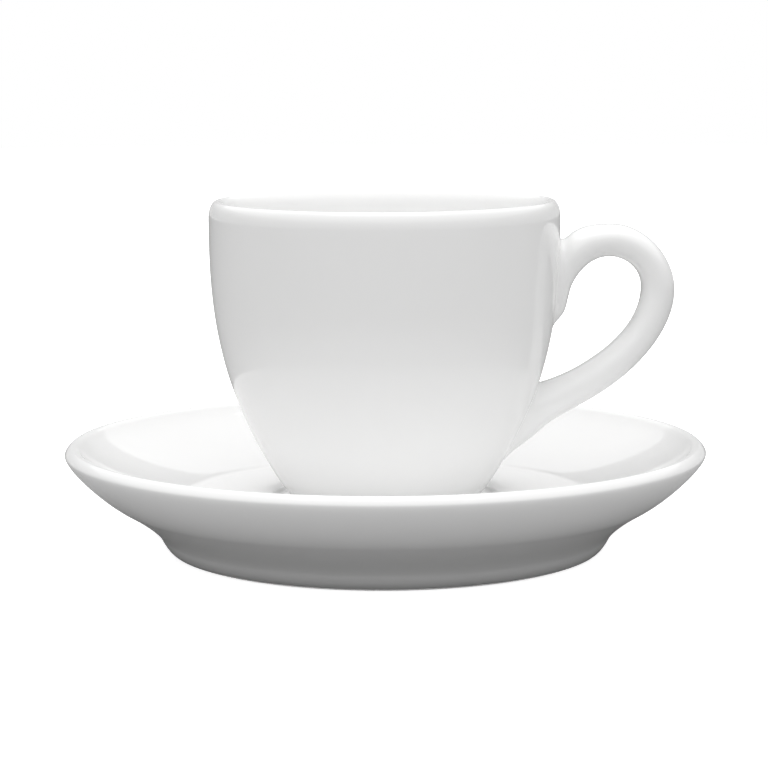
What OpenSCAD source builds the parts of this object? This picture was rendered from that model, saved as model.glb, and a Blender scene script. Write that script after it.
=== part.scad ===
// Espresso cup with its saucer: a thick-walled porcelain cup with a cast handle, standing loose
// in the seat of a footed saucer. Millimetres, Z up, X along the handle. The origin is the middle
// of the saucer's foot, on the table.

/* [Cup] */
// Outer diameter of the cup's wall just under the rim
cup_d = 65.4; // [56:0.2:76]
// Height of the cup from its standing ring to the top of its rim
cup_h = 56.3; // [50:0.1:66]
// Thickness of the wall where the rim starts
rim_t = 2.9; // [2.2:0.1:4]
// Height of the rounded rim
rim_h = 3.2; // [2:0.1:5]
// Diameter of the cup where its wall meets the foot
waist_d = 38.3; // [32:0.1:44]
// Height of the foot under the wall
cup_foot_h = 2.6; // [1.8:0.1:4]
// Outer diameter of the ring that the cup stands on
cup_stand_d = 34.4; // [29:0.1:37]
// Width of the ring that the cup stands on
cup_stand_w = 1.4; // [1:0.1:2.4]
// Depth of the hollow under the cup
cup_hollow_h = 1.5; // [0.8:0.1:2.4]
// Thickness of the cup's floor over that hollow
cup_floor_t = 4.3; // [3:0.1:6]
// Diameter of the flat middle of the cup's floor
cup_flat_d = 16; // [10:0.5:22]

/* [Handle] */
// How far the handle stands out from the widest part of the wall
handle_reach = 21.4; // [17:0.1:27]
// Drop from the rim to the top of the handle
handle_drop = 4.6; // [2:0.1:9]
// Height over the standing ring at which the tail of the handle runs out on the wall
tail_h = 8; // [6:0.1:12]
// Thickness of the loop, seen from the side
loop_t = 6.1; // [4.5:0.1:8]
// Width of the loop, seen from the end
loop_w = 8.6; // [6:0.1:12]
// Height of the upper root on the wall
upper_root_h = 18; // [14:0.1:22]
// Height of the lower root on the wall
lower_root_h = 14; // [10:0.1:17]
// Width of both roots where they meet the wall
root_w = 11.6; // [9:0.1:16]

/* [Saucer] */
// Outer diameter of the saucer
saucer_d = 120; // [108:1:140]
// Height of the saucer from the table to the top of its rim
saucer_h = 20.3; // [18:0.1:24]
// Thickness of the rolled rim
saucer_rim_t = 2.8; // [2:0.1:3.6]
// Diameter of the crease where the sloping side meets the well
well_d = 74.4; // [68:0.2:80]
// Height of the well at that crease
well_h = 10.4; // [9.4:0.1:12]
// Diameter of the sunk seat for the cup
seat_d = 42.4; // [38.6:0.2:50]
// Depth of the seat under the well's inner edge
seat_step = 0.8; // [0.4:0.1:1.2]
// Fall of the well from the crease to the seat's edge
well_fall = 0.3; // [0:0.1:0.6]
// Thickness of the saucer under the seat
seat_t = 4.6; // [3.6:0.1:5.6]
// Diameter at which the underside would meet the foot without the hollow bend between them
under_crease_d = 87.4; // [82:0.1:96]
// Height over the table at which they would meet
under_crease_h = 5.7; // [4.4:0.1:7]
// How far the hollow bend reaches down the foot from there
bend_down = 3.1; // [1:0.1:4]
// How far the hollow bend reaches up the underside from there
bend_up = 7.4; // [2:0.1:9]
// Outer diameter of the ring that the saucer stands on
saucer_stand_d = 79; // [72:0.1:81]
// Width of the ring that the saucer stands on
saucer_stand_w = 2.2; // [1.4:0.1:3.4]

/* [Resolution] */
// Sides of the revolved pieces
round_sides = 96; // [48:8:160]
// Straight pieces in each curved stretch of an outline
curve_steps = 14; // [8:1:24]
// Sides of the handle's section
handle_sides = 24; // [12:4:32]
// Sections in each of the handle's four stretches
handle_steps = 9; // [6:1:14]

/* [Hidden] */

porcelain = [0.93, 0.93, 0.92];
porcelain_shade = [0.88, 0.88, 0.87];

// The cup's sizes, as radii and heights over its standing ring
cup_r = cup_d / 2;
waist_r = waist_d / 2;
cup_stand_r = cup_stand_d / 2;
cup_hollow_r = cup_stand_r - cup_stand_w;
cup_floor_h = cup_hollow_h + cup_floor_t;
cup_bore_r = cup_r - rim_t;
rim_start_h = cup_h - rim_h;
notch_depth = 0.5;
hollow_slope = 0.6;

// Shape of the cup's wall: headings in degrees from level, reaches as shares of the wall's height
wall_h = rim_start_h - cup_foot_h;
wall_foot_heading = 56;
wall_foot_reach_share = 0.467;
wall_rim_reach_share = 0.279;
bore_h = rim_start_h - cup_floor_h;
bore_floor_reach_share = 0.275;
bore_rim_reach_share = 0.634;
// A quarter of an ellipse as one curve has this share of the half axis as its reach
quarter_share = 0.5523;

// The saucer's sizes, as radii and heights over the table
saucer_r = saucer_d / 2;
saucer_rim_r = saucer_rim_t / 2;
rim_mid_h = saucer_h - saucer_rim_r;
well_r = well_d / 2;
seat_r = seat_d / 2;
seat_edge_h = well_h - well_fall;
seat_h = seat_edge_h - seat_step;
seat_under_h = seat_h - seat_t;
under_crease_r = under_crease_d / 2;
saucer_stand_r = saucer_stand_d / 2;
saucer_hollow_r = saucer_stand_r - saucer_stand_w;
hollow_draft = 1.6;
seat_draft = 0.5;
foot_round = 0.5;

// Shape of the saucer's two sides: reaches as shares of the side's width
side_w = saucer_r - under_crease_r;
under_rim_reach_share = 0.085;
under_bend_reach_share = 0.32;
under_bend_heading = 29.4;
dish_w = saucer_r - saucer_rim_t - well_r;
dish_rim_heading = 228;
dish_rim_reach_share = 0.25;
dish_well_heading = 192;
dish_well_reach_share = 0.4;
// The rim's roll runs out into the dish: its drop and reach as shares of the rim's thickness
roll_drop_share = 0.22;
roll_reach_share = 0.19;
// Shape of the foot, and reach of the hollow bend as a share of its own length
foot_edge_heading = 58;
foot_top_heading = 63;
foot_top_reach_share = 0.62;
bend_reach_share = 0.6;

// The handle's outer and inner outlines, from the upper root over the top and round to the tail.
// Each row holds how far out and how high the point lies, its heading in degrees, and its reaches
// back and on. Places are shares of the outline's own reach and rise, and reaches are shares of the
// handle's reach.
rise = cup_h - handle_drop - tail_h;
outer_top_shares = [0.44, 1, 0, 0.31, 0.295];
outer_belly_shares = [1, 0.722, -90, 0.29, 0.4];
outer_tail_shares = [0.215, 0.236, -152, 0.43, 0.43];
inner_top_shares = [0.69, 1, 0, 0.46, 0.08];
inner_belly_shares = [1, 0.828, -90, 0.235, 0.3];
inner_tail_shares = [0.178, 0.432, -150, 0.28, 0.19];
// Where each outline crosses the wall: its heading there, and its reach as a share
outer_root_heading = 19;
outer_root_reach_share = 0.44;
inner_root_heading = 52;
inner_root_reach_share = 0.49;
outer_end_heading = -145.5;
outer_end_reach_share = 0.78;
inner_end_heading = -170;
inner_end_reach_share = 0.18;
// Drop from the top of the handle to the top of the upper root, and how deep the roots start
root_top_drop = 3;
root_sink = 2;

function heading(a) = [cos(a), sin(a)];

// Point at share t of the curve that leaves p with heading a and reach ra, and comes in to q with
// heading b and reach rb
function on_curve(p, a, ra, q, b, rb, t) =
    pow(1 - t, 3) * p
    + 3 * pow(1 - t, 2) * t * (p + ra * heading(a))
    + 3 * (1 - t) * pow(t, 2) * (q - rb * heading(b))
    + pow(t, 3) * q;

// Points of that curve after p, up to q
function curve(p, a, ra, q, b, rb) =
    [for (i = [1 : curve_steps]) on_curve(p, a, ra, q, b, rb, i / curve_steps)];

// Points of a quarter of an ellipse from p, heading a, to q, heading b
function quarter(p, a, q, b) =
    let (across = abs((q - p) * heading(a)), along = abs((q - p) * heading(b)))
    curve(p, a, quarter_share * across, q, b, quarter_share * along);

// The cup's outside from its standing ring to the top of its rim, as radius and height
cup_outside_points = concat(
    [[cup_stand_r - foot_round, 0]],
    quarter([cup_stand_r - foot_round, 0], 0, [cup_stand_r, foot_round], 90),
    [[waist_r - notch_depth, cup_foot_h - notch_depth]],
    [[waist_r, cup_foot_h]],
    curve([waist_r, cup_foot_h], wall_foot_heading, wall_foot_reach_share * wall_h,
          [cup_r, rim_start_h], 90, wall_rim_reach_share * wall_h),
    quarter([cup_r, rim_start_h], 90, [cup_r - rim_t / 2, cup_h], 180)
);

// The cup's inside from the top of its rim to the middle of its floor
cup_inside_points = concat(
    quarter([cup_r - rim_t / 2, cup_h], 180, [cup_bore_r, rim_start_h], 270),
    curve([cup_bore_r, rim_start_h], 270, bore_rim_reach_share * bore_h,
          [cup_flat_d / 2, cup_floor_h], 180, bore_floor_reach_share * bore_h),
    [[0, cup_floor_h]]
);

// The hollow under the cup, from its middle to the standing ring
cup_under_points = [
    [0, cup_hollow_h],
    [cup_hollow_r - hollow_slope, cup_hollow_h],
    [cup_hollow_r, 0]
];

// Ends of the hollow bend between the saucer's foot and underside, and of the rim's roll
bend_low = [under_crease_r, under_crease_h] - bend_down * heading(foot_top_heading);
bend_high = [under_crease_r, under_crease_h] + bend_up * heading(under_bend_heading);
rim_top = [saucer_r - saucer_rim_r, saucer_h];
roll_end = [saucer_r - saucer_rim_t, saucer_h - roll_drop_share * saucer_rim_t];

// The saucer's section, from the hollow under its middle round the foot and rim to the seat
saucer_points = concat(
    [[0, seat_under_h]],
    [[saucer_hollow_r - hollow_draft, seat_under_h]],
    [[saucer_hollow_r, 0]],
    [[saucer_stand_r, 0]],
    curve([saucer_stand_r, 0], foot_edge_heading, foot_round,
          bend_low, foot_top_heading, foot_top_reach_share * under_crease_h),
    curve(bend_low, foot_top_heading, bend_reach_share * bend_down,
          bend_high, under_bend_heading, bend_reach_share * bend_up),
    curve(bend_high, under_bend_heading, under_bend_reach_share * side_w,
          [saucer_r, rim_mid_h], 90, under_rim_reach_share * side_w),
    quarter([saucer_r, rim_mid_h], 90, rim_top, 180),
    curve(rim_top, 180, roll_reach_share * saucer_rim_t,
          roll_end, dish_rim_heading, roll_reach_share * saucer_rim_t),
    curve(roll_end, dish_rim_heading, dish_rim_reach_share * dish_w,
          [well_r, well_h], dish_well_heading, dish_well_reach_share * dish_w),
    [[seat_r, seat_edge_h]],
    [[seat_r - seat_draft, seat_h]],
    [[0, seat_h]]
);

// Radius of the cup's outside at height h
function wall_r(h) = lookup(h, [for (p = cup_outside_points) [p[1], p[0]]]);

// A knot of an outline that lies inset inside the outer one
function knot(shares, inset) =
    [[cup_r + shares[0] * (handle_reach - inset), tail_h + shares[1] * (rise - inset)],
     shares[2], shares[3] * handle_reach, shares[4] * handle_reach];

// A knot inside the wall, from which the outline crosses the wall straight at height h. The side is
// 1 where the outline leaves the wall and -1 where it comes back to it
function root_knot(h, a, reach_share, side) =
    [[wall_r(h), h] - side * root_sink * heading(a), a,
     reach_share * handle_reach, reach_share * handle_reach];

upper_root_top_h = cup_h - handle_drop - root_top_drop;

outer_knots = [
    root_knot(upper_root_top_h, outer_root_heading, outer_root_reach_share, 1),
    knot(outer_top_shares, 0),
    knot(outer_belly_shares, 0),
    knot(outer_tail_shares, 0),
    root_knot(tail_h, outer_end_heading, outer_end_reach_share, -1)
];
inner_knots = [
    root_knot(upper_root_top_h - upper_root_h, inner_root_heading, inner_root_reach_share, 1),
    knot(inner_top_shares, loop_t),
    knot(inner_belly_shares, loop_t),
    knot(inner_tail_shares, loop_t),
    root_knot(tail_h + lower_root_h, inner_end_heading, inner_end_reach_share, -1)
];

// Point of an outline at place s, which counts from 0 along its knots
function outline_point(knots, s) =
    let (i = min(floor(s), len(knots) - 2), a = knots[i], b = knots[i + 1])
    on_curve(a[0], a[1], a[3], b[0], b[1], b[2], s - i);

handle_count = (len(outer_knots) - 1) * handle_steps;

// One section of the handle: an ellipse between the two outlines, wider at the roots
function section(i) =
    let (
        s = i / handle_steps,
        outer = outline_point(outer_knots, s),
        inner = outline_point(inner_knots, s),
        middle = (outer + inner) / 2,
        half = (outer - inner) / 2,
        flare = pow(abs(2 * i / handle_count - 1), 4),
        half_w = (loop_w + (root_w - loop_w) * flare) / 2
    )
    [for (k = [0 : handle_sides - 1])
        let (a = 360 * k / handle_sides)
        [middle[0] + half[0] * cos(a), half_w * sin(a), middle[1] + half[1] * cos(a)]];

// Skin over rings of points that all have the same number of sides, closed at both ends
module skin(rings) {
    sides = len(rings[0]);
    last = len(rings) - 1;
    faces = concat(
        [for (i = [0 : last - 1], k = [0 : sides - 1])
            let (a = i * sides + k, b = i * sides + (k + 1) % sides)
            each [[a, b, a + sides], [b, b + sides, a + sides]]],
        [[for (k = [sides - 1 : -1 : 0]) k]],
        [[for (k = [0 : sides - 1]) last * sides + k]]
    );
    polyhedron(points = [for (r = rings) each r], faces = faces);
}

module revolve(points) {
    rotate_extrude($fn = round_sides) polygon(points);
}

// The cup's outside as one solid, which shapes the ends of the handle to the wall
module cup_outside_solid() {
    revolve(concat([[0, 0]], cup_outside_points, [[0, cup_h]]));
}

module cup_body() {
    color(porcelain)
    translate([0, 0, seat_h])
    revolve(concat(cup_under_points, cup_outside_points, cup_inside_points));
}

module cup_handle() {
    color(porcelain_shade)
    translate([0, 0, seat_h])
    difference() {
        skin([for (i = [0 : handle_count]) section(i)]);
        cup_outside_solid();
    }
}

module saucer() {
    color(porcelain)
    revolve(saucer_points);
}

cup_body();
cup_handle();
saucer();
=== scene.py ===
"""Espresso cup with its saucer in white glazed porcelain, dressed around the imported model.

Lengths are in metres and +Z is up. The origin is the middle of the saucer's foot, on the table, and
the handle points along +X. The cup and its handle ride on the body "cup", the saucer on "saucer".
"""

from __future__ import annotations

import logging
import math
from dataclasses import dataclass
from enum import Enum

import bpy
from mathutils import Euler, Matrix, Vector

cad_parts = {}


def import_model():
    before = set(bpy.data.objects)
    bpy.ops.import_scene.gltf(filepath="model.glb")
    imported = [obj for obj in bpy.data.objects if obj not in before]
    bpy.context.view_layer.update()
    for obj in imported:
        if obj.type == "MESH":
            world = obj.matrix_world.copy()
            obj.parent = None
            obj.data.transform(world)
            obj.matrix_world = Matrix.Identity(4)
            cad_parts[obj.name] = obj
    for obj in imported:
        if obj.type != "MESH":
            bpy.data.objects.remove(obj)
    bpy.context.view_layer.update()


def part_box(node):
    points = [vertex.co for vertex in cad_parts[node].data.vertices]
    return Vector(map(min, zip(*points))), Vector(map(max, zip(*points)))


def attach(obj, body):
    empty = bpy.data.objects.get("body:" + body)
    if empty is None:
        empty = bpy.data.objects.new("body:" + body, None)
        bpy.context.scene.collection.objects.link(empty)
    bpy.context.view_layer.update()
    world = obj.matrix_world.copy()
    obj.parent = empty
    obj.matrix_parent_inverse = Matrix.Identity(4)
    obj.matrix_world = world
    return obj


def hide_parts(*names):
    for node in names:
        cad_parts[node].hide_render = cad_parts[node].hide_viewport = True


log = logging.getLogger("espresso_cup")

MM = 0.001
# Straight pieces in a smooth stretch and in a rounded corner
CURVE_STEPS = 28
CORNER_STEPS = 6
# Reach with which a stretch follows a quarter circle, in shares of its radius
QUARTER_SHARE = 0.5523
# Reach of a rounded corner, in shares of what it cuts off
CORNER_REACH_SHARE = 0.6
# Headings in a section, in degrees: away from the axis, up, towards the axis and down
OUT = 0
UP = 90
INWARD = 180
DOWN = -90


class Ray(Enum):
    """Kinds of ray for which the set looks as white as the paper behind it."""

    CAMERA = "Is Camera Ray"
    GLOSSY = "Is Glossy Ray"
    TRANSMISSION = "Is Transmission Ray"


class Side(Enum):
    """Which way an outline of the handle crosses the cup's wall."""

    LEAVES = 1
    RETURNS = -1


def heading(degrees: float) -> Vector:
    """Gives the direction of a heading.

    Args:
        degrees: Angle from level, anticlockwise.

    Returns:
        A vector of length 1, as distance out and height.
    """
    return Vector((math.cos(math.radians(degrees)), math.sin(math.radians(degrees))))


def angle(way: Vector) -> float:
    """Gives the heading of a direction.

    Args:
        way: The direction, as distance out and height.

    Returns:
        Its angle from level, anticlockwise, in degrees.
    """
    return math.degrees(math.atan2(way.y, way.x))


def at_radius(point: Vector, radius: float) -> Vector:
    """Moves a point level to a given distance from the cup's axis.

    Args:
        point: The point.
        radius: Its new distance from the axis.

    Returns:
        The moved point.
    """
    scale = radius / math.hypot(point.x, point.y)
    return Vector((point.x * scale, point.y * scale, point.z))


@dataclass(frozen=True)
class Bend:
    """A smooth stretch of an outline between two points, each with a heading and a reach."""

    start: Vector
    start_heading: float
    start_reach: float
    end: Vector
    end_heading: float
    end_reach: float

    def at(self, t: float) -> Vector:
        """Gives a point of the stretch.

        Args:
            t: Share of the way, from 0 to 1.

        Returns:
            The point there.
        """
        leaving = self.start + self.start_reach * heading(self.start_heading)
        coming = self.end - self.end_reach * heading(self.end_heading)
        u = 1 - t
        ends = u**3 * self.start + t**3 * self.end
        return ends + 3 * u * t * (u * leaving + t * coming)

    def points(self, steps: int = CURVE_STEPS) -> list[Vector]:
        """Gives the stretch as points.

        Args:
            steps: Number of straight pieces.

        Returns:
            The points, with both ends.
        """
        return [self.at(i / steps) for i in range(steps + 1)]


def quarter(start: Vector, start_heading: float, end: Vector, end_heading: float) -> list[Vector]:
    """Rounds a quarter of an ellipse.

    Args:
        start: Where it starts.
        start_heading: Heading there, in degrees.
        end: Where it ends.
        end_heading: Heading there, at a right angle to the first.

    Returns:
        Points along the quarter, with both ends.
    """
    way = end - start
    start_reach = QUARTER_SHARE * abs(way.dot(heading(start_heading)))
    end_reach = QUARTER_SHARE * abs(way.dot(heading(end_heading)))
    return Bend(start, start_heading, start_reach, end, end_heading, end_reach).points()


def shortened(points: list[Vector], cut: float) -> list[Vector]:
    """Takes a length off the end of a stretch.

    Args:
        points: The stretch.
        cut: Length to take off.

    Returns:
        What is left of it, with a new last point.
    """
    kept = list(points)
    while len(kept) > 2 and (kept[-1] - kept[-2]).length <= cut:
        cut -= (kept[-1] - kept[-2]).length
        kept.pop()
    last = kept[-1] - kept[-2]
    kept[-1] = kept[-2] + last * max(0.0, 1 - cut / last.length)
    return kept


def joined(stretches: list[tuple[list[Vector], float]]) -> list[Vector]:
    """Joins stretches into one outline and rounds the corners between them.

    Args:
        stretches: The stretches in order, each starting where the one before it ends. With each
            comes how far the rounding at its end reaches, or 0 where it runs on smoothly.

    Returns:
        The points of the whole outline.
    """
    outline = list(stretches[0][0])
    for (_, cut), (stretch, _) in zip(stretches, stretches[1:]):
        if cut == 0:
            outline += stretch[1:]
            continue
        outline = shortened(outline, cut)
        rest = shortened(stretch[::-1], cut)[::-1]
        leaving, coming = angle(outline[-1] - outline[-2]), angle(rest[1] - rest[0])
        reach = CORNER_REACH_SHARE * cut
        corner = Bend(outline[-1], leaving, reach, rest[0], coming, reach)
        outline += corner.points(CORNER_STEPS)[1:]
        outline += rest[1:]
    return outline


def add(
    tree: bpy.types.NodeTree, kind: str, inputs: dict[str | int, object], operation: str = ""
) -> bpy.types.Node:
    """Adds a node with its inputs.

    Args:
        tree: Node tree that gets it.
        kind: Its type.
        inputs: What each input gets: a socket to link from, or a value of its own.
        operation: Its operation, for a node that has a choice of them.

    Returns:
        The node.
    """
    made = tree.nodes.new(kind)
    if operation:
        made.operation = operation
    for name, given in inputs.items():
        if isinstance(given, bpy.types.NodeSocket):
            tree.links.new(given, made.inputs[name])
        else:
            made.inputs[name].default_value = given
    return made


def ramp(
    tree: bpy.types.NodeTree,
    place: bpy.types.NodeSocket,
    near: tuple[float, float],
    far: tuple[float, float],
) -> bpy.types.NodeSocket:
    """Adds a node for a value that changes evenly with a place or a pattern.

    Args:
        tree: Node tree that gets it.
        place: Socket with the place.
        near: Place up to which the value stays at its first level, and that level.
        far: Place from which it stays at its last level, and that level.

    Returns:
        The socket with the value.
    """
    inputs = {"Value": place, "From Min": near[0], "From Max": far[0]}
    inputs |= {"To Min": near[1], "To Max": far[1]}
    return add(tree, "ShaderNodeMapRange", inputs).outputs["Result"]


def noise(
    tree: bpy.types.NodeTree, place: bpy.types.NodeSocket, size: float, detail: float
) -> bpy.types.NodeSocket:
    """Adds a noise pattern.

    Args:
        tree: Node tree that gets it.
        place: Socket with the place on the piece.
        size: Width of one patch of the pattern.
        detail: How many finer layers lie over the patches.

    Returns:
        The socket with the pattern, from 0 to 1.
    """
    inputs = {"Vector": place, "Scale": 1 / size, "Detail": detail}
    return add(tree, "ShaderNodeTexNoise", inputs).outputs["Fac"]


def bump(
    tree: bpy.types.NodeTree,
    pattern: bpy.types.NodeSocket,
    height: float,
    under: bpy.types.NodeSocket | None = None,
) -> bpy.types.NodeSocket:
    """Adds relief.

    Args:
        tree: Node tree that gets it.
        pattern: Socket with the relief, from 0 to 1.
        height: Height of the relief.
        under: Socket with the normal of a relief that this one lies on.

    Returns:
        The socket with the new normal.
    """
    inputs = {"Strength": 1, "Distance": height, "Height": pattern}
    if under is not None:
        inputs["Normal"] = under
    return add(tree, "ShaderNodeBump", inputs).outputs["Normal"]


def tint(
    tree: bpy.types.NodeTree,
    pattern: bpy.types.NodeSocket,
    low: tuple[float, float, float],
    high: tuple[float, float, float],
) -> bpy.types.NodeSocket:
    """Adds a colour that follows a pattern.

    Args:
        tree: Node tree that gets it.
        pattern: Socket with the pattern, from 0 to 1.
        low: Colour where the pattern is 0.
        high: Colour where it is 1.

    Returns:
        The socket with the colour.
    """
    mix = tree.nodes.new("ShaderNodeMix")
    mix.data_type = "RGBA"
    mix.inputs["A"].default_value = (*low, 1)
    mix.inputs["B"].default_value = (*high, 1)
    tree.links.new(pattern, mix.inputs["Factor"])
    return mix.outputs["Result"]


@dataclass(frozen=True)
class Glaze:
    """Clear glossy glaze over white porcelain, very slightly uneven as it ran in the kiln."""

    name: str
    colour: tuple[float, float, float] = (0.9, 0.9, 0.897)
    shade: tuple[float, float, float] = (0.886, 0.886, 0.884)
    roughness: float = 0.045
    rough_patch: float = 0.03
    ior: float = 1.5
    cloud_size: float = 22 * MM
    wave_size: float = 9 * MM
    peel_size: float = 1.1 * MM
    wave_height: float = 0.012 * MM
    peel_height: float = 0.0006 * MM
    cloud_detail: float = 2
    wave_detail: float = 1
    peel_detail: float = 0

    def material(self) -> bpy.types.Material:
        """Makes the material.

        Returns:
            The new material, named after the finish.
        """
        made = bpy.data.materials.new(self.name)
        made.use_nodes = True
        tree = made.node_tree
        place = tree.nodes.new("ShaderNodeTexCoord").outputs["Object"]
        cloud = noise(tree, place, self.cloud_size, self.cloud_detail)
        wave = noise(tree, place, self.wave_size, self.wave_detail)
        peel = noise(tree, place, self.peel_size, self.peel_detail)
        smooth, rough = (0, self.roughness), (1, self.roughness + self.rough_patch)
        soft = bump(tree, wave, self.wave_height)

        shader = tree.nodes["Principled BSDF"].inputs
        shader["IOR"].default_value = self.ior
        tree.links.new(tint(tree, cloud, self.shade, self.colour), shader["Base Color"])
        tree.links.new(ramp(tree, cloud, smooth, rough), shader["Roughness"])
        tree.links.new(bump(tree, peel, self.peel_height, soft), shader["Normal"])
        return made


@dataclass(frozen=True)
class BareClay:
    """Fired porcelain without glaze, as on the rings that each piece stood on in the kiln."""

    name: str
    colour: tuple[float, float, float] = (0.8, 0.785, 0.755)
    grit: tuple[float, float, float] = (0.68, 0.66, 0.62)
    roughness: float = 0.72
    grain_size: float = 0.35 * MM
    grain_height: float = 0.02 * MM
    grain_detail: float = 3

    def material(self) -> bpy.types.Material:
        """Makes the material.

        Returns:
            The new material, named after the finish.
        """
        made = bpy.data.materials.new(self.name)
        made.use_nodes = True
        tree = made.node_tree
        place = tree.nodes.new("ShaderNodeTexCoord").outputs["Object"]
        grain = noise(tree, place, self.grain_size, self.grain_detail)

        shader = tree.nodes["Principled BSDF"].inputs
        shader["Roughness"].default_value = self.roughness
        tree.links.new(tint(tree, grain, self.grit, self.colour), shader["Base Color"])
        tree.links.new(bump(tree, grain, self.grain_height), shader["Normal"])
        return made


@dataclass
class Wheel:
    """Turns an outline into a revolved piece with a geometry node tree."""

    sides: int = 256
    weld: float = 0.002 * MM
    ring_radius: float = 5 * MM

    def tree(self) -> bpy.types.GeometryNodeTree:
        """Builds the node tree, with the outline's sizes and the finishes as named inputs.

        Returns:
            The tree.
        """
        tree = bpy.data.node_groups.new("turned_piece", "GeometryNodeTree")
        kinds = {
            "Outline": "NodeSocketGeometry",
            "Sides": "NodeSocketInt",
            "Ring Radius": "NodeSocketFloat",
            "Weld": "NodeSocketFloat",
            "Bare Below": "NodeSocketFloat",
            "Glaze": "NodeSocketMaterial",
            "Bare Clay": "NodeSocketMaterial",
        }
        for name, kind in kinds.items():
            tree.interface.new_socket(name, in_out="INPUT", socket_type=kind)
        tree.interface.new_socket("Piece", in_out="OUTPUT", socket_type="NodeSocketGeometry")
        given = tree.nodes.new("NodeGroupInput").outputs

        # The ring carries the outline round at its own distance from the axis
        outline = add(tree, "GeometryNodeMeshToCurve", {"Mesh": given["Outline"]})
        inward = add(tree, "ShaderNodeMath", {0: given["Ring Radius"], 1: -1}, "MULTIPLY")
        offset = add(tree, "ShaderNodeCombineXYZ", {"X": inward.outputs[0]})
        inputs = {"Geometry": outline.outputs["Curve"], "Translation": offset.outputs[0]}
        moved = add(tree, "GeometryNodeTransform", inputs)
        inputs = {"Resolution": given["Sides"], "Radius": given["Ring Radius"]}
        ring = add(tree, "GeometryNodeCurvePrimitiveCircle", inputs)
        inputs = {"Curve": ring.outputs["Curve"], "Profile Curve": moved.outputs["Geometry"]}
        turned = add(tree, "GeometryNodeCurveToMesh", inputs)

        inputs = {"Geometry": turned.outputs["Mesh"], "Distance": given["Weld"]}
        welded = add(tree, "GeometryNodeMergeByDistance", inputs)
        inputs = {"Geometry": welded.outputs["Geometry"]}
        smooth = add(tree, "GeometryNodeSetShadeSmooth", inputs)
        inputs = {"Geometry": smooth.outputs["Geometry"]}
        real = add(tree, "GeometryNodeRealizeInstances", inputs)

        inputs = {"Geometry": real.outputs["Geometry"], "Material": given["Glaze"]}
        glazed = add(tree, "GeometryNodeSetMaterial", inputs)
        place = tree.nodes.new("GeometryNodeInputPosition").outputs["Position"]
        height = add(tree, "ShaderNodeSeparateXYZ", {0: place}).outputs["Z"]
        inputs = {"A": height, "B": given["Bare Below"]}
        low = add(tree, "FunctionNodeCompare", inputs, "LESS_THAN")
        inputs = {
            "Geometry": glazed.outputs["Geometry"],
            "Selection": low.outputs["Result"],
            "Material": given["Bare Clay"],
        }
        bare = add(tree, "GeometryNodeSetMaterial", inputs)
        add(tree, "NodeGroupOutput", {"Piece": bare.outputs["Geometry"]})
        return tree

    def turn(
        self,
        name: str,
        outline: list[Vector],
        glaze: bpy.types.Material,
        clay: bpy.types.Material,
        bare_below: float,
    ) -> bpy.types.Object:
        """Turns one piece.

        Args:
            name: Name of the piece.
            outline: Its section, as distance from the axis and height, from axis to axis.
            glaze: Finish of all but its standing ring.
            clay: Finish of its standing ring.
            bare_below: Height under which the standing ring has no glaze.

        Returns:
            The piece as a plain mesh, in place.
        """
        section = bpy.data.meshes.new(name + "_section")
        section.from_pydata(
            [(p.x, -p.y, 0) for p in reversed(outline)],
            [(i, i + 1) for i in range(len(outline) - 1)],
            [],
        )
        piece = bpy.data.objects.new(name, section)
        bpy.context.scene.collection.objects.link(piece)
        tree = self.tree()
        turning = piece.modifiers.new("turning", "NODES")
        turning.node_group = tree
        values = {
            "Sides": self.sides,
            "Ring Radius": self.ring_radius,
            "Weld": self.weld,
            "Bare Below": bare_below,
            "Glaze": glaze,
            "Bare Clay": clay,
        }
        for socket in tree.interface.items_tree:
            if socket.name in values:
                turning[socket.identifier] = values[socket.name]
        graph = bpy.context.evaluated_depsgraph_get()
        solid = bpy.data.meshes.new_from_object(piece.evaluated_get(graph), depsgraph=graph)
        solid.name = name
        piece.modifiers.clear()
        piece.data = solid
        bpy.data.meshes.remove(section)
        return piece


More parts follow.
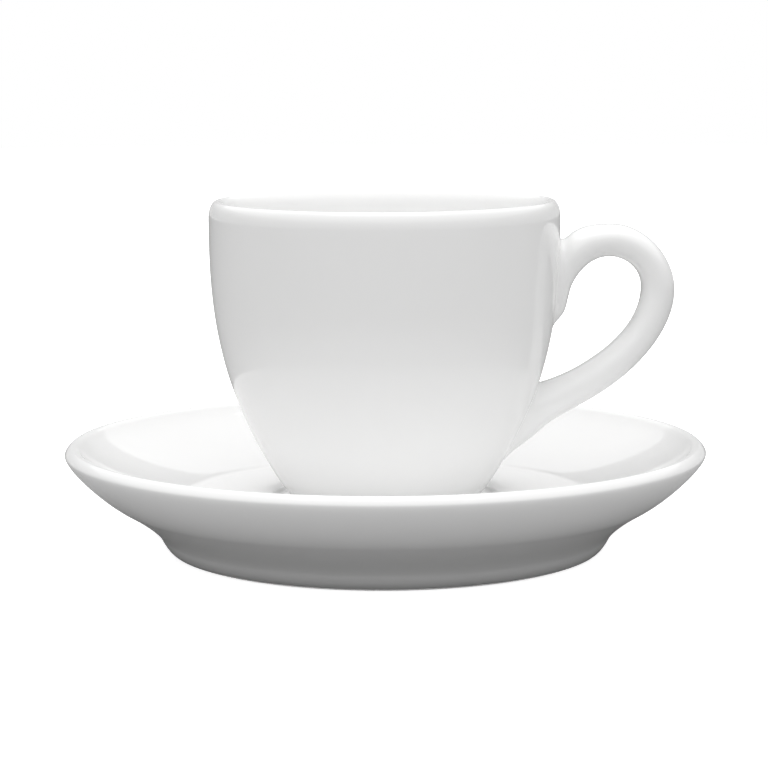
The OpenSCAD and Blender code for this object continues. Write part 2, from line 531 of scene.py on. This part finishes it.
@dataclass
class Saucer:
    """The saucer: rolled rim, sloping side, well with a sunk seat, and a foot ring under it."""

    rim_thickness: float = 2.8 * MM
    lip_drop: float = 1.5 * MM
    lip_reach: float = 0.45 * MM
    crest_reach: float = 0.5 * MM
    well_radius: float = 37.2 * MM
    well_height: float = 10.4 * MM
    seat_radius: float = 21.2 * MM
    seat_step: float = 0.8 * MM
    seat_draft: float = 0.5 * MM
    well_fall: float = 0.3 * MM
    seat_thickness: float = 4.6 * MM
    crease_radius: float = 43.7 * MM
    crease_height: float = 5.7 * MM
    bend_down: float = 3.1 * MM
    bend_up: float = 7.4 * MM
    stand_radius: float = 39.5 * MM
    stand_width: float = 2.2 * MM
    hollow_draft: float = 1.6 * MM
    edge_round: float = 0.5 * MM
    bare_height: float = 0.12 * MM
    edge_heading: float = 58
    foot_heading: float = 63
    under_heading: float = 29.4
    rim_heading: float = 228
    well_heading: float = 192
    foot_share: float = 0.62
    bend_share: float = 0.6
    under_share: float = 0.32
    under_rim_share: float = 0.085
    roll_drop_share: float = 0.22
    roll_share: float = 0.19
    dish_rim_share: float = 0.25
    dish_well_share: float = 0.4
    hollow_round: float = 1.2 * MM
    stand_round: float = 0.3 * MM
    well_round: float = 1.6 * MM
    step_edge_round: float = 0.35 * MM
    step_foot_round: float = 0.3 * MM

    def outline(self) -> list[Vector]:
        """Draws the section from the middle of the underside round the foot and rim to the seat.

        Returns:
            Its points, as distance from the axis and height.
        """
        low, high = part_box("saucer")
        radius, height = high.x, high.z
        rim_radius = self.rim_thickness / 2
        seat_edge_height = self.well_height - self.well_fall
        seat_height = seat_edge_height - self.seat_step
        under_height = seat_height - self.seat_thickness
        hollow_radius = self.stand_radius - self.stand_width
        side = radius - self.crease_radius
        dish = radius - self.rim_thickness - self.well_radius
        roll = self.roll_share * self.rim_thickness
        foot_reach = self.foot_share * self.crease_height
        under_reach, under_rim_reach = self.under_share * side, self.under_rim_share * side

        middle = Vector((0, under_height))
        hollow_top = Vector((hollow_radius - self.hollow_draft, under_height))
        hollow_foot = Vector((hollow_radius, low.z))
        stand = Vector((self.stand_radius, low.z))
        crease = Vector((self.crease_radius, self.crease_height))
        bend_low = crease - self.bend_down * heading(self.foot_heading)
        bend_high = crease + self.bend_up * heading(self.under_heading)
        rim_outside = Vector((radius, height - self.lip_drop))
        rim_top = Vector((radius - rim_radius, height))
        roll_height = height - self.roll_drop_share * self.rim_thickness
        roll_end = Vector((radius - self.rim_thickness, roll_height))
        well = Vector((self.well_radius, self.well_height))
        seat_edge = Vector((self.seat_radius, seat_edge_height))
        seat = Vector((self.seat_radius - self.seat_draft, seat_height))
        seat_middle = Vector((0, seat_height))

        foot = Bend(
            stand, self.edge_heading, self.edge_round, bend_low, self.foot_heading, foot_reach
        )
        hollow_bend = Bend(
            bend_low,
            self.foot_heading,
            self.bend_share * self.bend_down,
            bend_high,
            self.under_heading,
            self.bend_share * self.bend_up,
        )
        underside = Bend(
            bend_high, self.under_heading, under_reach, rim_outside, UP, under_rim_reach
        )
        lip = Bend(rim_outside, UP, self.lip_reach, rim_top, INWARD, self.crest_reach)
        rolled = Bend(rim_top, INWARD, roll, roll_end, self.rim_heading, roll)
        inside = Bend(
            roll_end,
            self.rim_heading,
            self.dish_rim_share * dish,
            well,
            self.well_heading,
            self.dish_well_share * dish,
        )
        return joined(
            [
                ([middle, hollow_top], self.hollow_round),
                ([hollow_top, hollow_foot], self.stand_round),
                ([hollow_foot, stand], self.stand_round),
                (foot.points(), 0),
                (hollow_bend.points(), 0),
                (underside.points(), 0),
                (lip.points(), 0),
                (rolled.points(), 0),
                (inside.points(), self.well_round),
                ([well, seat_edge], self.step_edge_round),
                ([seat_edge, seat], self.step_foot_round),
                ([seat, seat_middle], 0),
            ]
        )

    def build(self, wheel: Wheel, glaze: Glaze, clay: bpy.types.Material) -> bpy.types.Object:
        """Makes the saucer and seats it on its body.

        Args:
            wheel: What turns it.
            glaze: Its glaze.
            clay: Finish of its standing ring.

        Returns:
            The piece.
        """
        low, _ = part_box("saucer")
        piece = wheel.turn(
            "saucer_glazed", self.outline(), glaze.material(), clay, low.z + self.bare_height
        )
        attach(piece, "saucer")
        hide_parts("saucer")
        return piece


@dataclass
class Cup:
    """The cup's body: thick wall with a rounded rim, floor and hollow foot."""

    rim_thickness: float = 2.9 * MM
    rim_height: float = 3.2 * MM
    waist_radius: float = 19.15 * MM
    foot_height: float = 2.6 * MM
    notch: float = 0.5 * MM
    stand_radius: float = 17.2 * MM
    stand_width: float = 1.4 * MM
    hollow_height: float = 1.5 * MM
    hollow_slope: float = 0.6 * MM
    floor_thickness: float = 4.3 * MM
    flat_radius: float = 8 * MM
    bare_height: float = 0.12 * MM
    waist_heading: float = 56
    waist_share: float = 0.467
    belly_share: float = 0.279
    bore_share: float = 0.634
    floor_share: float = 0.275
    hollow_round: float = 0.5 * MM
    stand_inner_round: float = 0.25 * MM
    stand_outer_round: float = 0.4 * MM
    notch_round: float = 0.25 * MM
    waist_round: float = 0.3 * MM

    def wall(self) -> Bend:
        """Gives the wall's outside from the foot to the rim.

        Returns:
            The stretch, as distance from the axis and height over the standing ring.
        """
        low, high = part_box("cup_body")
        start = Vector((self.waist_radius, self.foot_height))
        end = Vector((high.x, high.z - low.z - self.rim_height))
        rise = end.y - start.y
        waist, belly = self.waist_share * rise, self.belly_share * rise
        return Bend(start, self.waist_heading, waist, end, UP, belly)

    def outline(self) -> list[Vector]:
        """Draws the section from the hollow underneath round the foot, wall and rim to the floor.

        Returns:
            Its points, as distance from the axis and height over the table.
        """
        low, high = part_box("cup_body")
        wall = self.wall()
        height = high.z - low.z
        floor_height = self.hollow_height + self.floor_thickness
        hollow_radius = self.stand_radius - self.stand_width
        bore_radius = high.x - self.rim_thickness
        bore_height = wall.end.y - floor_height

        middle = Vector((0, self.hollow_height))
        hollow_top = Vector((hollow_radius - self.hollow_slope, self.hollow_height))
        hollow_foot = Vector((hollow_radius, 0))
        stand = Vector((self.stand_radius, 0))
        notch = wall.start - Vector((self.notch, self.notch))
        rim_top = Vector((high.x - self.rim_thickness / 2, height))
        rim_inside = Vector((bore_radius, wall.end.y))
        flat = Vector((self.flat_radius, floor_height))
        floor_middle = Vector((0, floor_height))
        upper, lower = self.bore_share * bore_height, self.floor_share * bore_height
        points = joined(
            [
                ([middle, hollow_top], self.hollow_round),
                ([hollow_top, hollow_foot], self.stand_inner_round),
                ([hollow_foot, stand], self.stand_outer_round),
                ([stand, notch], self.notch_round),
                ([notch, wall.start], self.waist_round),
                (wall.points(), 0),
                (quarter(wall.end, UP, rim_top, INWARD), 0),
                (quarter(rim_top, INWARD, rim_inside, DOWN), 0),
                (Bend(rim_inside, DOWN, upper, flat, INWARD, lower).points(), 0),
                ([flat, floor_middle], 0),
            ]
        )
        return [p + Vector((0, low.z)) for p in points]

    def build(self, wheel: Wheel, glaze: Glaze, clay: bpy.types.Material) -> bpy.types.Object:
        """Makes the cup's body and seats it on its body of the model.

        Args:
            wheel: What turns it.
            glaze: Its glaze.
            clay: Finish of its standing ring.

        Returns:
            The piece.
        """
        low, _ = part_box("cup_body")
        piece = wheel.turn(
            "cup_body_glazed", self.outline(), glaze.material(), clay, low.z + self.bare_height
        )
        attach(piece, "cup")
        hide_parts("cup_body")
        return piece


@dataclass(frozen=True)
class Knot:
    """A point that an outline of the handle passes, with its heading and its reaches."""

    place: Vector
    heading: float
    back: float
    on: float


@dataclass(frozen=True)
class Way:
    """A knot clear of the wall, in shares of the handle's own sizes.

    The place is in shares of the outline's reach and rise, the stretches of the handle's reach.
    """

    out_share: float
    up_share: float
    heading: float
    back_share: float
    on_share: float


@dataclass(frozen=True)
class End:
    """How an outline of the handle crosses the wall: its heading and its stretch there."""

    heading: float
    reach_share: float


@dataclass
class Handle:
    """The handle: a loop between an outer and an inner outline, run out smoothly on the wall."""

    cup: Cup
    reach: float = 21.4 * MM
    drop: float = 4.6 * MM
    tail_height: float = 8 * MM
    thickness: float = 6.15 * MM
    width: float = 9.2 * MM
    root_width: float = 11.6 * MM
    squareness: float = 2.35
    upper_root: float = 15.1 * MM
    lower_root: float = 13.75 * MM
    root_top_drop: float = 3.8 * MM
    root_start: float = 2 * MM
    fillet: float = 1.6 * MM
    inner_fillet: float = 0.7 * MM
    neck_share: float = 0.4
    crown_place: int = 2
    flare_power: int = 4
    outer_start: End = End(heading=41.0, reach_share=0.242)
    crown: Way = Way(
        out_share=0.448, up_share=1, heading=OUT, back_share=0.328, on_share=0.298
    )
    back: Way = Way(
        out_share=1, up_share=0.718, heading=DOWN, back_share=0.288, on_share=0.345
    )
    tail: Way = Way(
        out_share=0.168, up_share=0.22, heading=-152.6, back_share=0.576, on_share=0.482
    )
    outer_end: End = End(heading=-146.4, reach_share=0.665)
    inner_start: End = End(heading=45.3, reach_share=0.297)
    neck: Way = Way(
        out_share=0.123, up_share=0.837, heading=74.8, back_share=0.232, on_share=0.082
    )
    hole_top: Way = Way(
        out_share=0.601, up_share=1.003, heading=OUT, back_share=0.201, on_share=0.136
    )
    hole_side: Way = Way(
        out_share=0.996, up_share=0.85, heading=DOWN, back_share=0.164, on_share=0.231
    )
    hole_tail: Way = Way(
        out_share=0.216, up_share=0.447, heading=-150.3, back_share=0.458, on_share=0.123
    )
    inner_end: End = End(heading=-168.4, reach_share=0.168)
    sink: float = 0.03 * MM
    cap_depth: float = 0.5 * MM
    sharp_from: float = 50
    sides: int = 56
    rings: int = 150
    search_steps: int = 600

    def __post_init__(self) -> None:
        """Works out the wall and both outlines."""
        low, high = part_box("cup_body")
        self.base = low.z
        self.wall = [p for p in self.cup.outline() if p.x >= self.cup.stand_radius]
        self.wall = [p for p in self.wall if p.y <= high.z - self.cup.rim_height]
        cup_height = high.z - low.z
        top = cup_height - self.drop - self.root_top_drop
        self.rise = cup_height - self.drop - self.tail_height
        foot = self.tail_height
        start, crown = self.root(top, self.outer_start, Side.LEAVES), self.knot(self.crown, 0)
        self.outer = [
            *self.divided(start, crown, self.neck_share),
            self.knot(self.back, 0),
            self.knot(self.tail, 0),
            self.root(foot, self.outer_end, Side.RETURNS),
        ]
        self.inner = [
            self.root(top - self.upper_root, self.inner_start, Side.LEAVES),
            self.knot(self.neck, self.thickness),
            self.knot(self.hole_top, self.thickness),
            self.knot(self.hole_side, self.thickness),
            self.knot(self.hole_tail, self.thickness),
            self.root(foot + self.lower_root, self.inner_end, Side.RETURNS),
        ]

    def wall_radius(self, z: float) -> float:
        """Gives the radius of the cup's outside.

        Args:
            z: Height over the table.

        Returns:
            The radius there.
        """
        for low, high in zip(self.wall, self.wall[1:]):
            if low.y <= z < high.y:
                return low.x + (high.x - low.x) * (z - low.y) / (high.y - low.y)
        return self.wall[-1].x

    def knot(self, way: Way, inset: float) -> Knot:
        """Places a knot clear of the wall.

        Args:
            way: The knot in shares of the handle's sizes.
            inset: How far the outline lies inside the outer one.

        Returns:
            The knot.
        """
        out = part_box("cup_body")[1].x + way.out_share * (self.reach - inset)
        up = self.base + self.tail_height + way.up_share * (self.rise - inset)
        back, on = way.back_share * self.reach, way.on_share * self.reach
        return Knot(Vector((out, up)), way.heading, back, on)

    def root(self, height: float, end: End, side: Side) -> Knot:
        """Places a knot inside the wall, in line with where the outline crosses it.

        Args:
            height: Height of the crossing over the cup's standing ring.
            end: How the outline crosses the wall.
            side: Whether the outline leaves the wall there or comes back to it.

        Returns:
            The knot.
        """
        z = self.base + height
        crossing = Vector((self.wall_radius(z), z))
        place = crossing - side.value * self.root_start * heading(end.heading)
        reach = end.reach_share * self.reach
        return Knot(place, end.heading, reach, reach)

    def divided(self, a: Knot, b: Knot, share: float) -> list[Knot]:
        """Puts a knot between two others without changing the line.

        Args:
            a: The first knot.
            b: The next knot.
            share: Place of the new knot between them, from 0 to 1.

        Returns:
            The three knots.
        """
        leaving = a.place + a.on * heading(a.heading)
        coming = b.place - b.back * heading(b.heading)
        middle = leaving.lerp(coming, share)
        before = a.place.lerp(leaving, share).lerp(middle, share)
        after = middle.lerp(coming.lerp(b.place, share), share)
        place, way = before.lerp(after, share), after - before
        return [
            Knot(a.place, a.heading, a.back, share * a.on),
            Knot(place, angle(way), share * way.length, (1 - share) * way.length),
            Knot(b.place, b.heading, (1 - share) * b.back, b.on),
        ]

    def along(self, knots: list[Knot], s: float) -> Vector:
        """Gives a point of an outline.

        Args:
            knots: The outline's knots.
            s: Place along it, counted from 0 in knots.

        Returns:
            The point, as distance out and height.
        """
        i = min(int(s), len(knots) - 2)
        a, b = knots[i], knots[i + 1]
        return Bend(a.place, a.heading, a.on, b.place, b.heading, b.back).at(s - i)

    def half_width(self, s: float) -> float:
        """Gives half the handle's width, which grows towards both roots.

        Args:
            s: Place along the outlines, counted from 0 in knots.

        Returns:
            Half the width there.
        """
        count = len(self.outer) - self.crown_place
        # Up to the crown, the stretches on both sides of the neck count as one
        evened = s / self.crown_place if s < self.crown_place else s - (self.crown_place - 1)
        flare = abs(2 * evened / count - 1) ** self.flare_power
        return (self.width + (self.root_width - self.width) * flare) / 2

    def squared(self, x: float) -> float:
        """Gives a coordinate of the unit section, which is squarer than a circle.

        Args:
            x: The same coordinate on the unit circle.

        Returns:
            The coordinate, with the same sign.
        """
        return math.copysign(abs(x) ** (2 / self.squareness), x)

    def slope(self, x: float) -> float:
        """Gives how far the unit section faces along an axis.

        Args:
            x: Coordinate on that axis, from -1 to 1.

        Returns:
            That part of the section's direction, which isn't yet of length 1.
        """
        return x * abs(x) ** (self.squareness - 2)

    def skin(self, s: float, turn: float) -> tuple[Vector, Vector]:
        """Gives a point of the handle's skin before its roots are softened.

        Args:
            s: Place along the outlines, counted from 0 in knots.
            turn: Angle round the section, from the outer outline, in radians.

        Returns:
            The point and the direction in which the skin faces, across the section.
        """
        outer, inner = self.along(self.outer, s), self.along(self.inner, s)
        middle, half = (outer + inner) / 2, (outer - inner) / 2
        half_width = self.half_width(s)
        c, d = self.squared(math.cos(turn)), self.squared(math.sin(turn))
        point = Vector((middle.x + half.x * c, half_width * d, middle.y + half.y * c))
        outward = half.normalized() * (self.slope(c) / half.length)
        facing = Vector((outward.x, self.slope(d) / half_width, outward.y)).normalized()
        return point, facing

    def gap(self, point: Vector) -> float:
        """Gives the distance of a point from the wall, outward from the cup's axis.

        Args:
            point: The point.

        Returns:
            The distance, less than 0 inside the wall.
        """
        return math.hypot(point.x, point.y) - self.wall_radius(point.z)

    def crossing(self, turn: float, steps: range) -> float:
        """Finds where a line along the skin comes out of the wall.

        Args:
            turn: Angle round the section of that line, in radians.
            steps: Steps along the line, from inside the wall outwards.

        Returns:
            The place, counted in knots.
        """
        unit = (len(self.outer) - 1) / self.search_steps
        before = self.gap(self.skin(steps[0] * unit, turn)[0])
        for last, step in zip(steps, steps[1:]):
            after = self.gap(self.skin(step * unit, turn)[0])
            if after > 0:
                return unit * (last + (step - last) * before / (before - after))
            before = after
        raise ValueError("the handle doesn't leave the wall")

    def softened(self, s: float, turn: float) -> Vector:
        """Gives a point of the finished skin, swept out near the wall as glaze and slip fill it.

        Args:
            s: Place along the outlines, counted from 0 in knots.
            turn: Angle round the section, in radians.

        Returns:
            The point.
        """
        point, facing = self.skin(s, turn)
        gap = max(0.0, self.gap(point))
        fillet = self.inner_fillet + (self.fillet - self.inner_fillet) * (1 + math.cos(turn)) / 2
        if gap < fillet:
            short = fillet - gap
            point = point + facing * (fillet - math.sqrt(fillet**2 - short**2))
        return at_radius(point, self.wall_radius(point.z) + gap - self.sink)

    def lines(self) -> list[list[Vector]]:
        """Draws the lines along the skin from where they leave the wall to where they return.

        Returns:
            The points of each line, closer together towards its ends.
        """
        half = self.search_steps // 2
        shares = [(1 - math.cos(math.pi * i / self.rings)) / 2 for i in range(self.rings + 1)]
        lines = []
        for k in range(self.sides):
            turn = math.tau * k / self.sides
            start = self.crossing(turn, range(0, half))
            end = self.crossing(turn, range(self.search_steps, half, -1))
            lines.append([self.softened(start + (end - start) * x, turn) for x in shares])
        return lines

    def mesh(self) -> bpy.types.Mesh:
        """Makes the closed skin, with a shallow cap inside the wall at each root.

        Returns:
            The mesh.
        """
        lines = self.lines()
        points = [lines[k][i] for i in range(self.rings + 1) for k in range(self.sides)]
        faces = []
        for i in range(self.rings):
            for k in range(self.sides):
                a, b = i * self.sides + k, i * self.sides + (k + 1) % self.sides
                faces.append((a, a + self.sides, b + self.sides, b))
        for first, side in ((0, Side.LEAVES), (self.rings * self.sides, Side.RETURNS)):
            ring = points[first : first + self.sides]
            middle = sum(ring, Vector((0, 0, 0))) / self.sides
            points.append(at_radius(middle, self.wall_radius(middle.z) - self.cap_depth))
            for k in range(self.sides):
                edge = (first + k, first + (k + 1) % self.sides)
                faces.append((*edge[:: side.value], len(points) - 1))
        mesh = bpy.data.meshes.new("cup_handle_glazed")
        mesh.from_pydata(points, [], faces)
        mesh.shade_smooth()
        mesh.set_sharp_from_angle(angle=math.radians(self.sharp_from))
        return mesh

    def build(self, glaze: Glaze) -> bpy.types.Object:
        """Makes the handle and seats it on the cup's body of the model.

        Args:
            glaze: Its glaze.

        Returns:
            The piece.
        """
        mesh = self.mesh()
        mesh.materials.append(glaze.material())
        piece = bpy.data.objects.new("cup_handle_glazed", mesh)
        bpy.context.scene.collection.objects.link(piece)
        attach(piece, "cup")
        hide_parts("cup_handle")
        return piece


@dataclass
class Camera:
    """The photograph's viewpoint, found by fitting a pinhole camera to both rims."""

    frame_px: float = 768
    focal_px: float = 2689.75
    distance: float = 500 * MM
    height: float = 100.84 * MM
    aside: float = -0.2 * MM
    pitch_down: float = 7.949
    roll: float = 0.23
    sensor_mm: float = 36
    level_tilt: float = 90

    def build(self) -> bpy.types.Object:
        """Makes the camera and gives it to the scene.

        Returns:
            The camera's object.
        """
        data = bpy.data.cameras.new("camera")
        data.sensor_width = self.sensor_mm
        data.lens = self.sensor_mm * self.focal_px / self.frame_px
        camera = bpy.data.objects.new("camera", data)
        camera.location = (self.aside, -self.distance, self.height)
        level = Euler((math.radians(self.level_tilt - self.pitch_down), 0, 0)).to_matrix()
        tilted = level @ Matrix.Rotation(-math.radians(self.roll), 3, "Z")
        camera.rotation_euler = tilted.to_euler()
        bpy.context.scene.collection.objects.link(camera)
        bpy.context.scene.camera = camera
        return camera


@dataclass
class Studio:
    """A pale floor and backdrop, a tent of soft light, a lamp overhead and card all round."""

    floor_radius: float = 1.5
    floor_sides: int = 96
    floor_colour: float = 0.38
    # Painted shade under the saucer, for light-carrying rays only: the floor is this dark out to
    # the first radius and reaches its own colour by the second
    floor_painted_shade: float = 0.1
    painted_shade_radius: float = 48 * MM
    lit_radius: float = 52 * MM
    floor_white: float = 0.8
    near_lift: float = 0.8
    far_lift: float = 1.0
    near_radius: float = 70 * MM
    far_radius: float = 140 * MM
    tent_low: float = 0.63
    tent_high: float = 0.97
    tent_low_way: float = 0.24
    tent_high_way: float = 0.54
    tent_front: float = 0.28
    lamp_size: float = 0.5
    lamp_height: float = 0.6
    lamp_power: float = 1.43
    card_height: float = 0.5 * MM
    card_inner: float = 39 * MM
    card_outer: float = 1.4
    card_near: float = 110 * MM
    card_far: float = 160 * MM
    card_near_colour: float = 0.49
    card_far_colour: float = 0.02
    card_back_colour: float = 0.28
    card_front_end: float = -0.15
    card_back_start: float = 0.1
    wall_height: float = 0.6
    wall_fade: float = 0.25
    wall_low_colour: float = 1.0
    wall_high_colour: float = 0.59
    diffuse_bounces: int = 12
    all_bounces: int = 24

    def seen(self, tree: bpy.types.NodeTree) -> bpy.types.NodeSocket:
        """Adds nodes that tell whether the set is looked at, straight or in a reflection.

        Args:
            tree: Node tree of a material or of the world.

        Returns:
            The socket, 1 for such rays and 0 for those that only carry light.
        """
        path = tree.nodes.new("ShaderNodeLightPath")
        found = path.outputs[Ray.CAMERA.value]
        for ray in (Ray.GLOSSY, Ray.TRANSMISSION):
            either = add(tree, "ShaderNodeMath", {0: found, 1: path.outputs[ray.value]}, "MAXIMUM")
            found = either.outputs[0]
        return found

    def away(self, tree: bpy.types.NodeTree) -> bpy.types.NodeSocket:
        """Adds nodes for the distance from the middle.

        Args:
            tree: Node tree of a material.

        Returns:
            The socket with the distance.
        """
        place = tree.nodes.new("ShaderNodeTexCoord").outputs["Object"]
        return add(tree, "ShaderNodeVectorMath", {0: place}, "LENGTH").outputs["Value"]

    def along(self, tree: bpy.types.NodeTree, axis: str) -> bpy.types.NodeSocket:
        """Adds nodes for the place along an axis.

        Args:
            tree: Node tree of a material.
            axis: The axis, X, Y or Z.

        Returns:
            The socket with the place.
        """
        place = tree.nodes.new("ShaderNodeTexCoord").outputs["Object"]
        return add(tree, "ShaderNodeSeparateXYZ", {0: place}).outputs[axis]

    def tent(self) -> None:
        """Makes the world: white where it is looked at, and soft light that is stronger above."""
        world = bpy.data.worlds.new("tent")
        world.use_nodes = True
        tree = world.node_tree
        facing = tree.nodes.new("ShaderNodeTexCoord").outputs["Generated"]
        way = add(tree, "ShaderNodeSeparateXYZ", {0: facing}).outputs
        low, high = (self.tent_low_way, self.tent_low), (self.tent_high_way, self.tent_high)
        inputs = {0: way["Y"], 1: -self.tent_front, 2: ramp(tree, way["Z"], low, high)}
        light = add(tree, "ShaderNodeMath", inputs, "MULTIPLY_ADD")
        inputs = {"Factor": self.seen(tree), "A": light.outputs[0], "B": 1}
        strength = add(tree, "ShaderNodeMix", inputs)
        background = tree.nodes["Background"].inputs
        background["Color"].default_value = (1, 1, 1, 1)
        tree.links.new(strength.outputs["Result"], background["Strength"])
        bpy.context.scene.world = world

    def sheet(self, name: str, rings: list[tuple[float, float]], filled: bool) -> bpy.types.Object:
        """Lays a round sheet from ring to ring.

        Args:
            name: Its name.
            rings: Radius and height of each ring, from the middle outwards.
            filled: Whether the first ring is closed.

        Returns:
            The sheet's object.
        """
        count = self.floor_sides
        turns = [math.tau * i / count for i in range(count)]
        points = [(r * math.cos(a), r * math.sin(a), z) for r, z in rings for a in turns]
        faces = [tuple(range(count))] if filled else []
        for ring in range(1, len(rings)):
            for i in range(count):
                a, b = ring * count + i, ring * count + (i + 1) % count
                faces.append((a - count, a, b, b - count))
        mesh = bpy.data.meshes.new(name)
        mesh.from_pydata(points, [], faces)
        made = bpy.data.objects.new(name, mesh)
        bpy.context.scene.collection.objects.link(made)
        return made

    def floor(self) -> bpy.types.Object:
        """Lays the floor, lifted to white where it is looked at and keeping its shadow, with
        painted shade under the saucer.

        Returns:
            The floor's object.
        """
        floor = self.sheet("floor", [(self.floor_radius, 0)], filled=True)
        paper = bpy.data.materials.new("floor_paper")
        paper.use_nodes = True
        tree = paper.node_tree
        tree.nodes.remove(tree.nodes["Principled BSDF"])
        away = self.away(tree)
        shade, lit = (self.painted_shade_radius, self.floor_painted_shade), (self.lit_radius, self.floor_colour)
        near, far = (self.near_radius, self.near_lift), (self.far_radius, self.far_lift)
        # Painted shade: for light-carrying rays the floor is painted darker under the saucer, which
        # darkens the saucer's foot and underside
        plain = add(tree, "ShaderNodeBsdfDiffuse", {"Color": ramp(tree, away, shade, lit)})
        white = add(tree, "ShaderNodeBsdfDiffuse", {"Color": (*[self.floor_white] * 3, 1)})
        lift = add(tree, "ShaderNodeEmission", {"Strength": ramp(tree, away, near, far)})
        lifted = add(tree, "ShaderNodeAddShader", {0: white.outputs[0], 1: lift.outputs[0]})
        inputs = {0: self.seen(tree), 1: plain.outputs[0], 2: lifted.outputs[0]}
        choice = add(tree, "ShaderNodeMixShader", inputs)
        tree.links.new(choice.outputs[0], tree.nodes["Material Output"].inputs["Surface"])
        floor.data.materials.append(paper)
        return floor

    def card(self, name: str, rings: list[tuple[float, float]]) -> bpy.types.NodeTree:
        """Puts up card that only the gloss picks up.

        Args:
            name: Its name.
            rings: Radius and height of each of its rings.

        Returns:
            The node tree of its material, still without a colour.
        """
        card = self.sheet(name, rings, filled=False)
        matt = bpy.data.materials.new(name)
        matt.use_nodes = True
        matt.node_tree.nodes["Principled BSDF"].inputs["Roughness"].default_value = 1
        card.data.materials.append(matt)
        card.visible_camera = False
        card.visible_diffuse = False
        card.visible_shadow = False
        card.visible_transmission = False
        return matt.node_tree

    def grey_card(self) -> None:
        """Lays card round the saucer, dark some way in front of it and paler behind it."""
        inner, outer = (self.card_inner, self.card_height), (self.card_outer, self.card_height)
        tree = self.card("grey_card", [inner, outer])
        near, far = (self.card_near, self.card_near_colour), (self.card_far, self.card_far_colour)
        front, back = (self.card_front_end, 0), (self.card_back_start, 1)
        inputs = {
            "Factor": ramp(tree, self.along(tree, "Y"), front, back),
            "A": ramp(tree, self.away(tree), near, far),
            "B": self.card_back_colour,
        }
        shade = add(tree, "ShaderNodeMix", inputs)
        tree.links.new(shade.outputs["Result"], tree.nodes["Principled BSDF"].inputs["Base Color"])

    def pale_wall(self) -> None:
        """Stands a card far out all round, white at its foot and greyer above."""
        foot, top = (self.card_outer, self.card_height), (self.card_outer, self.wall_height)
        tree = self.card("pale_wall", [foot, top])
        low, high = (0, self.wall_low_colour), (self.wall_fade, self.wall_high_colour)
        shade = ramp(tree, self.along(tree, "Z"), low, high)
        tree.links.new(shade, tree.nodes["Principled BSDF"].inputs["Base Color"])

    def lamp(self) -> bpy.types.Object:
        """Hangs the soft lamp over the object.

        Returns:
            The lamp's object.
        """
        data = bpy.data.lights.new("softbox", "AREA")
        data.shape = "SQUARE"
        data.size = self.lamp_size
        data.energy = self.lamp_power
        lamp = bpy.data.objects.new("softbox", data)
        lamp.location = (0, 0, self.lamp_height)
        bpy.context.scene.collection.objects.link(lamp)
        return lamp

    def build(self) -> None:
        """Makes the whole set."""
        self.tent()
        self.floor()
        self.grey_card()
        self.pale_wall()
        self.lamp()
        bpy.context.scene.cycles.diffuse_bounces = self.diffuse_bounces
        bpy.context.scene.cycles.max_bounces = self.all_bounces


def main() -> None:
    """Builds the cup, the saucer and the set around them."""
    logging.basicConfig(level=logging.INFO, format="%(message)s")
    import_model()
    Camera().build()
    Studio().build()
    clay = BareClay("bare_porcelain").material()
    wheel = Wheel()
    cup = Cup()
    made = [
        Saucer().build(wheel, Glaze("saucer_glaze"), clay),
        cup.build(wheel, Glaze("cup_glaze"), clay),
        Handle(cup).build(Glaze("handle_glaze")),
    ]
    for piece in made:
        log.info("%s: %d faces", piece.name, len(piece.data.polygons))
    bpy.context.scene.view_settings.view_transform = "Standard"


if __name__ == "__main__":
    main()
